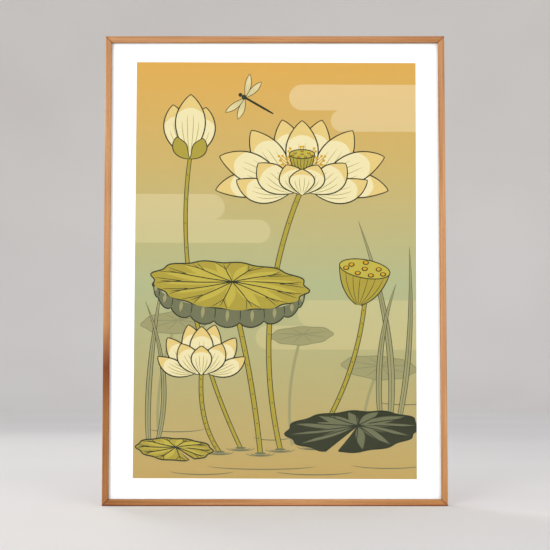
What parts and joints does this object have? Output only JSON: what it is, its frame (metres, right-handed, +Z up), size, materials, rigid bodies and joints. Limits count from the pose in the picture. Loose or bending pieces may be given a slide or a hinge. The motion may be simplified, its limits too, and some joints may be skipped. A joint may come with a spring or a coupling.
{
  "type": "framed print",
  "caption": "Upright framed paper print: thin mitred oak frame, clear pane, print with a white border, backing board, bent steel tabs and hinged D-ring hangers.",
  "frame": {"origin": "middle of the frame's underside, halfway between its front and back", "axes": "+X to the right as seen from the front, +Y from the front to the back, +Z up"},
  "size_m": [0.52, 0.024, 0.715],
  "materials": {
    "oak": "oiled, satin",
    "acrylic": "clear, glossy",
    "print_paper": "matt",
    "hardboard": "smooth, matt",
    "zinc_steel": "zinc plated, satin"
  },
  "bodies": {
    "frame": {"rail_bottom": "oak", "rail_right": "oak", "rail_top": "oak", "rail_left": "oak", "tab_bottom_1": "zinc_steel", "tab_bottom_2": "zinc_steel", "tab_bottom_3": "zinc_steel", "tab_right_1": "zinc_steel", "tab_right_2": "zinc_steel", "tab_right_3": "zinc_steel", "tab_right_4": "zinc_steel", "tab_top_1": "zinc_steel", "tab_top_2": "zinc_steel", "tab_top_3": "zinc_steel", "tab_left_1": "zinc_steel", "tab_left_2": "zinc_steel", "tab_left_3": "zinc_steel", "tab_left_4": "zinc_steel", "acrylic_pane": "acrylic", "print_sheet": "print_paper", "backing_board": "hardboard", "strap_left": "zinc_steel", "rivet_left_1": "zinc_steel", "rivet_left_2": "zinc_steel", "strap_right": "zinc_steel", "rivet_right_1": "zinc_steel", "rivet_right_2": "zinc_steel"},
    "ring_left": {"d_ring_left": "zinc_steel"},
    "ring_right": {"d_ring_right": "zinc_steel"}
  },
  "joints": [
    {"name": "ring_left_swing", "type": "hinge", "parent": "frame", "child": "ring_left", "pos_m": [-0.18, 0.0031, 0.565], "axis": [1, 0, 0], "range_deg": [0, 185]},
    {"name": "ring_right_swing", "type": "hinge", "parent": "frame", "child": "ring_right", "pos_m": [0.18, 0.0031, 0.565], "axis": [1, 0, 0], "range_deg": [0, 185]}
  ]
}
